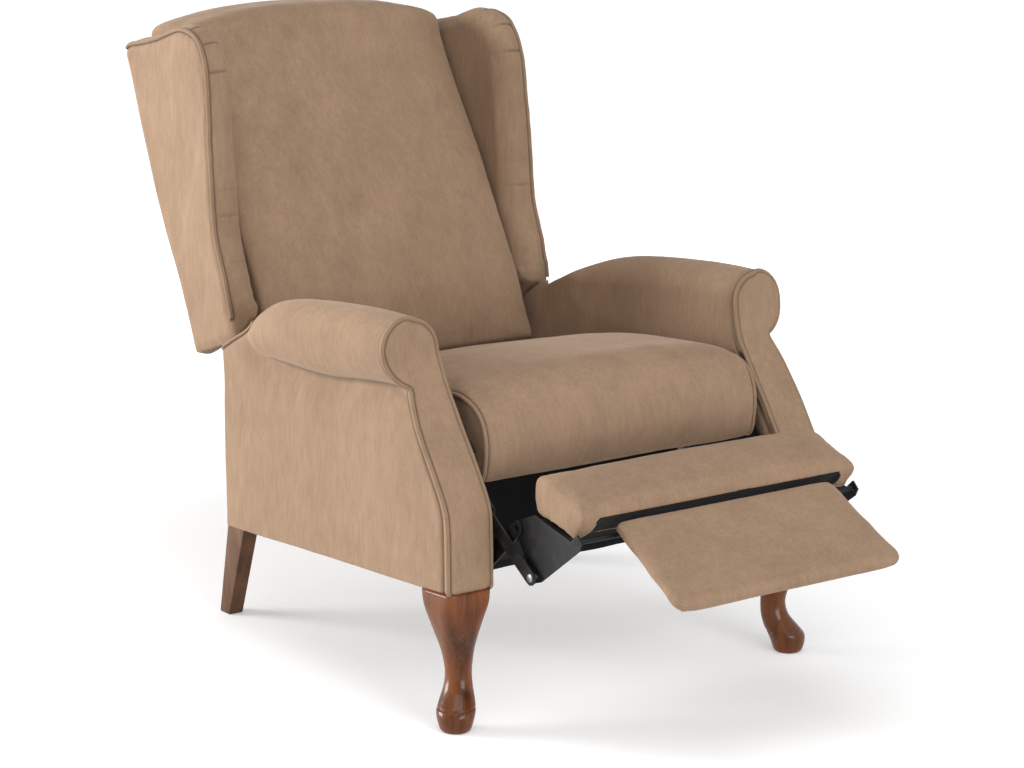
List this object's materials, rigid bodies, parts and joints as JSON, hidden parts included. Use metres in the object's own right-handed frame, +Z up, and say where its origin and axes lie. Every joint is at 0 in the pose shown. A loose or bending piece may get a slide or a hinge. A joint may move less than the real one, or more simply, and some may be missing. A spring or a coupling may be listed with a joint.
{
  "type": "wingback recliner",
  "caption": "Wingback push-back recliner with rolled arms, cabriole front legs, a reclining back and a fold-out footrest with a hinged flipper.",
  "frame": {"origin": "floor level under the middle of the chair's bounding box, with the footrest out", "axes": "+X to the sitter's left as seen from the front (image right), +Y towards the back, +Z up; the front faces -Y"},
  "size_m": [0.743, 1.357, 0.966],
  "materials": {
    "upholstery": "short-pile velvet, tan",
    "front_leg_wood": "glossy reddish-brown lacquer",
    "rear_leg_wood": "satin dark brown lacquer",
    "frame_timber": "bare hardwood and plywood",
    "black_steel": "satin black paint",
    "spring_steel": "oiled spring steel"
  },
  "bodies": {
    "base": {"side_frame_left": "frame_timber", "side_frame_right": "frame_timber", "arm_upholstery_left": "upholstery", "arm_upholstery_right": "upholstery", "arm_facing_left": "upholstery", "arm_facing_right": "upholstery", "rear_rail": "upholstery", "front_leg_left": "front_leg_wood", "front_leg_right": "front_leg_wood", "rear_leg_left": "rear_leg_wood", "rear_leg_right": "rear_leg_wood", "front_cross_bar": "black_steel", "rear_cross_bar": "black_steel", "base_plate_left": "black_steel", "base_plate_right": "black_steel"},
    "front_swing_links": {"front_swing_link_left": "black_steel", "front_swing_link_right": "black_steel"},
    "rear_swing_links": {"rear_swing_link_left": "black_steel", "rear_swing_link_right": "black_steel"},
    "seat": {"seat_side_rail_left": "frame_timber", "seat_side_rail_right": "frame_timber", "seat_plate_left": "black_steel", "seat_plate_right": "black_steel", "seat_front_rail": "frame_timber", "seat_rear_rail": "frame_timber", "torque_tube": "black_steel", "seat_spring_1": "spring_steel", "seat_spring_2": "spring_steel", "seat_spring_3": "spring_steel", "seat_spring_4": "spring_steel", "seat_cushion": "upholstery"},
    "drive_links": {"drive_link_left": "black_steel", "drive_link_right": "black_steel"},
    "guide_links": {"guide_link_left": "black_steel", "guide_link_right": "black_steel"},
    "ottoman": {"ottoman_pad": "upholstery", "ottoman_board": "frame_timber", "ottoman_bracket_left": "black_steel", "ottoman_bracket_right": "black_steel", "knee_pin_left": "spring_steel", "knee_pin_right": "spring_steel", "flipper_rod": "black_steel"},
    "flipper": {"flipper_pad": "upholstery", "flipper_board": "frame_timber", "flipper_hinge_left": "black_steel", "flipper_hinge_right": "black_steel"},
    "back": {"back_stile_left": "frame_timber", "back_stile_right": "frame_timber", "back_bottom_rail": "frame_timber", "back_top_rail": "frame_timber", "back_spring_1": "spring_steel", "back_spring_2": "spring_steel", "back_cushion": "upholstery", "outside_back_panel": "upholstery", "wing_left": "upholstery", "wing_right": "upholstery", "back_bracket_left": "black_steel", "back_bracket_right": "black_steel", "back_pin_left": "spring_steel", "back_pin_right": "spring_steel"}
  },
  "joints": [
    {"name": "front_swing", "type": "hinge", "parent": "base", "child": "front_swing_links", "pos_m": [0, -0.11976, 0.225], "axis": [1, 0, 0], "range_deg": [0, 20.01]},
    {"name": "seat_level", "type": "hinge", "parent": "front_swing_links", "child": "seat", "pos_m": [0, -0.11976, 0.338], "axis": [1, 0, 0], "range_deg": [-20.01, 0]},
    {"name": "rear_swing", "type": "hinge", "parent": "base", "child": "rear_swing_links", "pos_m": [0, 0.10024, 0.225], "axis": [1, 0, 0], "range_deg": [0, 20.01]},
    {"name": "back_recline", "type": "hinge", "parent": "seat", "child": "back", "pos_m": [0, 0.19524, 0.318], "axis": [-1, 0, 0], "range_deg": [0, 28]},
    {"name": "footrest_fold", "type": "hinge", "parent": "seat", "child": "drive_links", "pos_m": [0, -0.31526, 0.313], "axis": [1, 0, 0], "range_deg": [0, 124.77]},
    {"name": "ottoman_tilt", "type": "hinge", "parent": "drive_links", "child": "ottoman", "pos_m": [0, -0.41676, 0.244], "axis": [1, 0, 0], "range_deg": [-58.78, 0]},
    {"name": "guide_link_pivot", "type": "hinge", "parent": "seat", "child": "guide_links", "pos_m": [0, -0.29076, 0.228], "axis": [1, 0, 0], "range_deg": [-73.23, 0]},
    {"name": "flipper_fold", "type": "hinge", "parent": "ottoman", "child": "flipper", "pos_m": [0, -0.50976, 0.314], "axis": [1, 0, 0], "range_deg": [0, 130.01]}
  ],
  "couplings": [
    {"joint": "front_swing", "follows": "back_recline", "ratio": 0.71429},
    {"joint": "seat_level", "follows": "back_recline", "ratio": -0.71429},
    {"joint": "rear_swing", "follows": "back_recline", "ratio": 0.71429},
    {"joint": "ottoman_tilt", "follows": "footrest_fold", "ratio": -0.47103},
    {"joint": "guide_link_pivot", "follows": "footrest_fold", "ratio": -0.58684},
    {"joint": "flipper_fold", "follows": "footrest_fold", "ratio": 1.0419}
  ]
}
